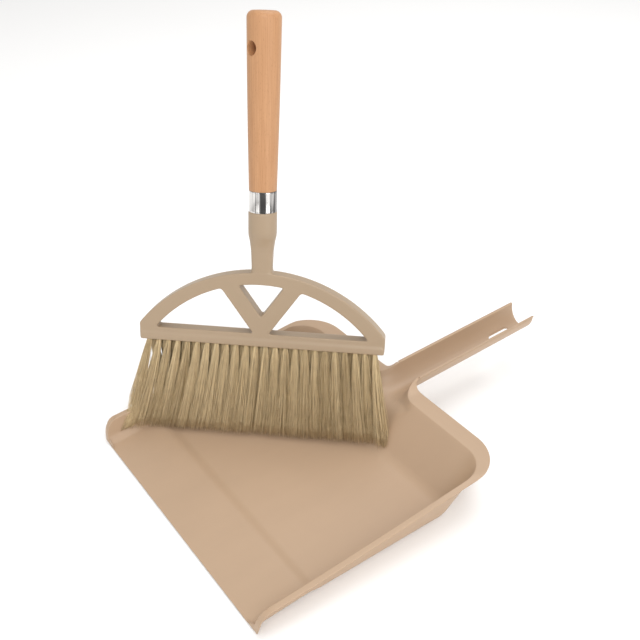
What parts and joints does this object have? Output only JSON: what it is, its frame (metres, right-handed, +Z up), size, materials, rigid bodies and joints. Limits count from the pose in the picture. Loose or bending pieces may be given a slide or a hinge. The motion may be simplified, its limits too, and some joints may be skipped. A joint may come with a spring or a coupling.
{
  "type": "dust pan and brush set",
  "caption": "Moulded dust pan with a half-round handle, and a brush with a bow-shaped open head, flared bristles, steel ferrule and turned wooden handle, stored leaning in it.",
  "frame": {"origin": "middle of the pan's flat underside", "axes": "+Y towards the pan's handle, +X to the right seen from the lip, +Z up"},
  "size_m": [0.2481, 0.3415, 0.307],
  "materials": {
    "pan_plastic": "satin moulded polypropylene, warm beige",
    "head_plastic": "satin moulded polypropylene, warm beige",
    "ferrule_steel": "polished stainless steel ring",
    "handle_wood": "turned beech, sanded and oiled",
    "bristle": "fine straw-coloured synthetic filaments",
    "anchor_steel": "flat wire"
  },
  "bodies": {
    "dustpan": {"pan": "pan_plastic"},
    "brush": {"brush_head": "head_plastic", "ferrule": "ferrule_steel", "wood_handle": "handle_wood", "tufts_01": "bristle", "tufts_02": "bristle", "tufts_03": "bristle", "tufts_04": "bristle", "tufts_05": "bristle", "tufts_06": "bristle", "tufts_07": "bristle", "tufts_08": "bristle", "tufts_09": "bristle", "tufts_10": "bristle", "tufts_11": "bristle", "tufts_12": "bristle", "tufts_13": "bristle", "tufts_14": "bristle", "tufts_15": "bristle", "tufts_16": "bristle", "tufts_17": "bristle", "tufts_18": "bristle", "tufts_19": "bristle", "tufts_20": "bristle", "tufts_21": "bristle", "tufts_22": "bristle", "tufts_23": "bristle", "tufts_24": "bristle", "anchor_wires_front": "anchor_steel", "anchor_wires_middle": "anchor_steel", "anchor_wires_rear": "anchor_steel"}
  },
  "joints": [
    {"name": "brush_lift", "type": "slide", "parent": "dustpan", "child": "brush", "axis": [0, 0, 1], "range_m": [0, 0.33]}
  ]
}
